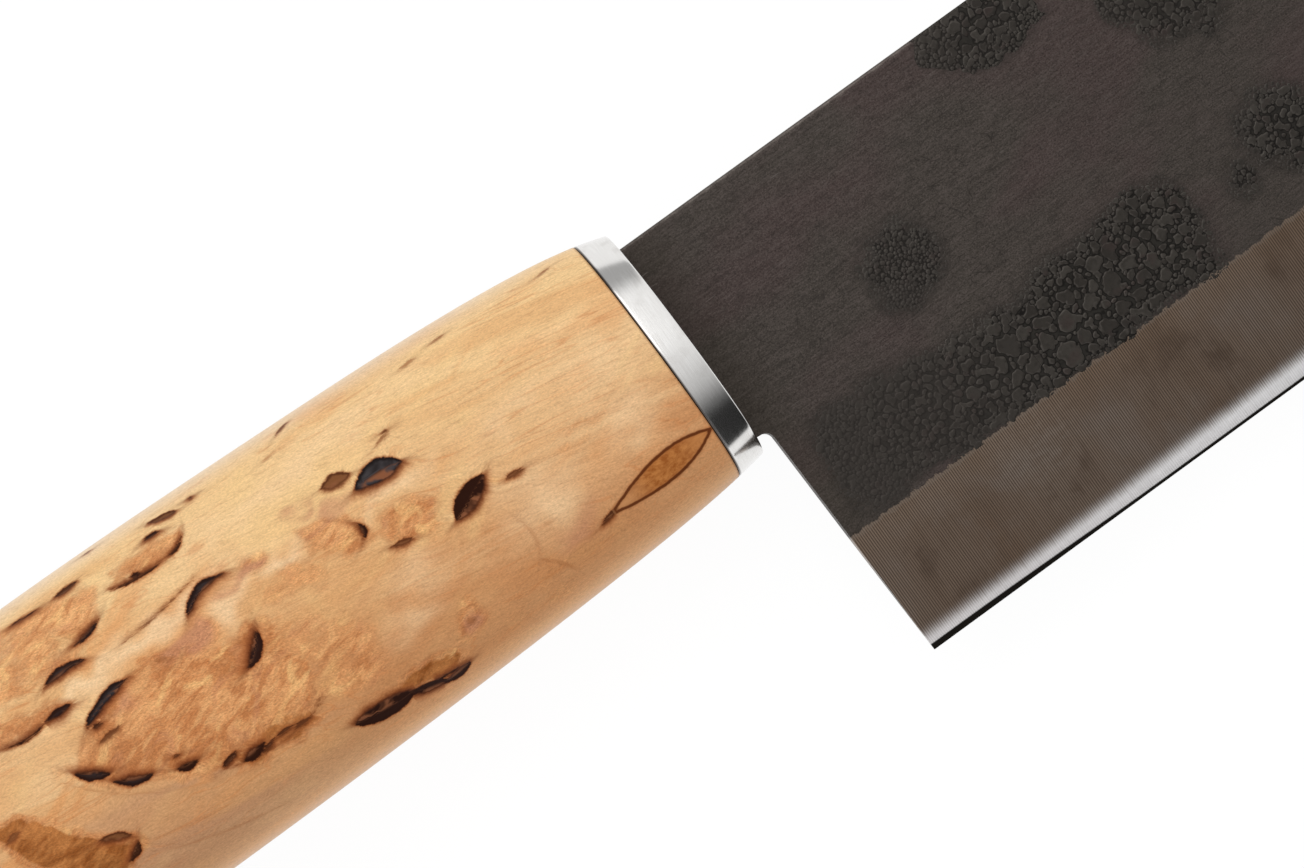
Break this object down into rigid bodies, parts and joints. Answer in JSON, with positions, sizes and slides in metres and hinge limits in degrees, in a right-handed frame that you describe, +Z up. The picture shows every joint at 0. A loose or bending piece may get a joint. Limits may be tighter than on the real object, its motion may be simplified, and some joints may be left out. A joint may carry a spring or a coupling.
{
  "type": "santoku knife",
  "caption": "Santoku kitchen knife with a black forged blade on a hidden tang, a narrow steel bolster and an oval curly birch grip.",
  "frame": {"origin": "on the table, under the middle of the bounding box of the knife as it lies on its left side", "axes": "+X from the butt towards the blade's point, +Y towards the spine, +Z up from the table"},
  "size_m": [0.2998, 0.0546, 0.0281],
  "materials": {
    "forged_steel": "black forge scale on the flats, ground brown-grey bevel",
    "satin_steel": "satin, brushed along the rim",
    "curly_birch": "oiled, satin, with dark brown flecks",
    "cured_resin": "cured adhesive, hidden inside the grip"
  },
  "bodies": {
    "root": {"blade": "forged_steel", "bolster": "satin_steel", "grip": "curly_birch", "tang_resin": "cured_resin"}
  },
  "joints": []
}
